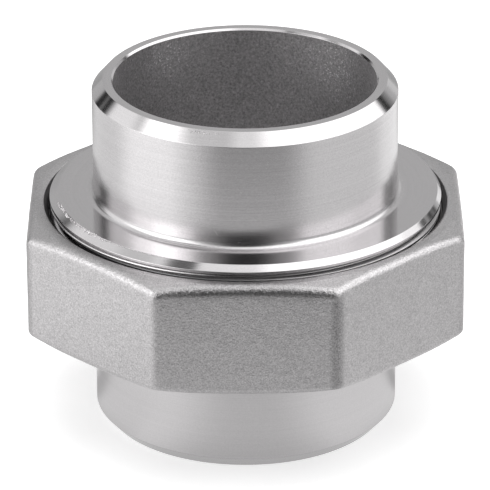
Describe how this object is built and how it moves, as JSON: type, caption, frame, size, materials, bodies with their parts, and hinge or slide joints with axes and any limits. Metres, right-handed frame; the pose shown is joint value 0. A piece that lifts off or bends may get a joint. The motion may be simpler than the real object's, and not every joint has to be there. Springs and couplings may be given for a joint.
{
  "type": "pipe union",
  "caption": "Butt-weld pipe union: an octagonal nut turns on a shouldered lower end and draws a threaded upper end down on a flat seal.",
  "frame": {"origin": "middle of the lower weld end, on the face it stands on", "axes": "+Z along the pipe axis, up through the threaded end; X and Y square to flats of the nut"},
  "size_m": [0.0858, 0.0858, 0.0711],
  "materials": {
    "machined_steel": "turned and finely brushed stainless steel",
    "cast_steel": "bead-blasted stainless casting, matte",
    "seal": "smooth white sealing plastic"
  },
  "bodies": {
    "lower_end": {"tail_end": "machined_steel", "seal_ring": "seal"},
    "nut": {"union_nut": "cast_steel"},
    "upper_end": {"threaded_end": "machined_steel"}
  },
  "joints": [
    {"name": "nut_turn", "type": "hinge", "parent": "lower_end", "child": "nut", "pos_m": [0, 0, 0.0269], "axis": [0, 0, -1], "range_deg": [0, 1620]},
    {"name": "upper_lift", "type": "slide", "parent": "lower_end", "child": "upper_end", "axis": [0, 0, 1], "range_m": [0, 0.0104]}
  ],
  "couplings": [
    {"joint": "upper_lift", "follows": "nut_turn", "m_per_rad": 0.00036749}
  ]
}
